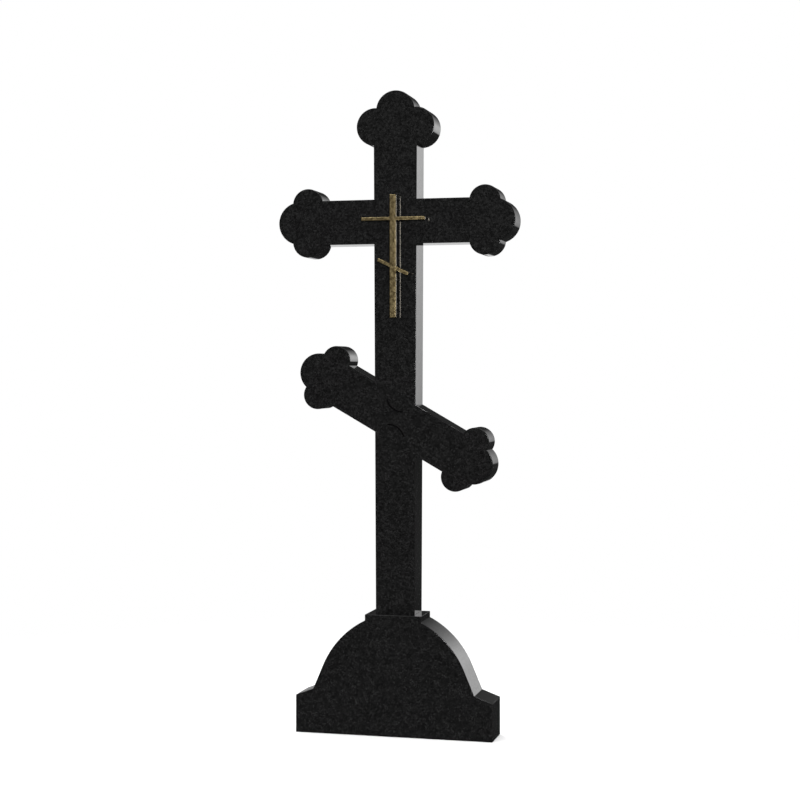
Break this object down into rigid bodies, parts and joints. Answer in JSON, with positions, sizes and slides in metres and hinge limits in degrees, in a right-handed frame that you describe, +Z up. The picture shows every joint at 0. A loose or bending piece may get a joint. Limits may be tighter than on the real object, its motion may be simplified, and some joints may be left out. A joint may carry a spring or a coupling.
{
  "type": "granite cross monument",
  "caption": "Slab-cut dark granite grave cross with lobed ends, a slanted lower bar, a small bronze cross on its front and a mound-shaped base, standing on a flat underside.",
  "frame": {"origin": "middle of the base's flat underside", "axes": "+Z up along the shaft, -Y towards the front face with the bronze cross, +X to the viewer's right, where the slanted bar's low end is"},
  "size_m": [0.481, 0.081, 1.275],
  "materials": {
    "polished_granite": "dark granite with fine grain, polished all over",
    "aged_bronze": "aged gold-coloured bronze, mottled, with dull darker spots"
  },
  "bodies": {
    "root": {"base": "polished_granite", "cross": "polished_granite", "ornament": "aged_bronze"}
  },
  "joints": []
}
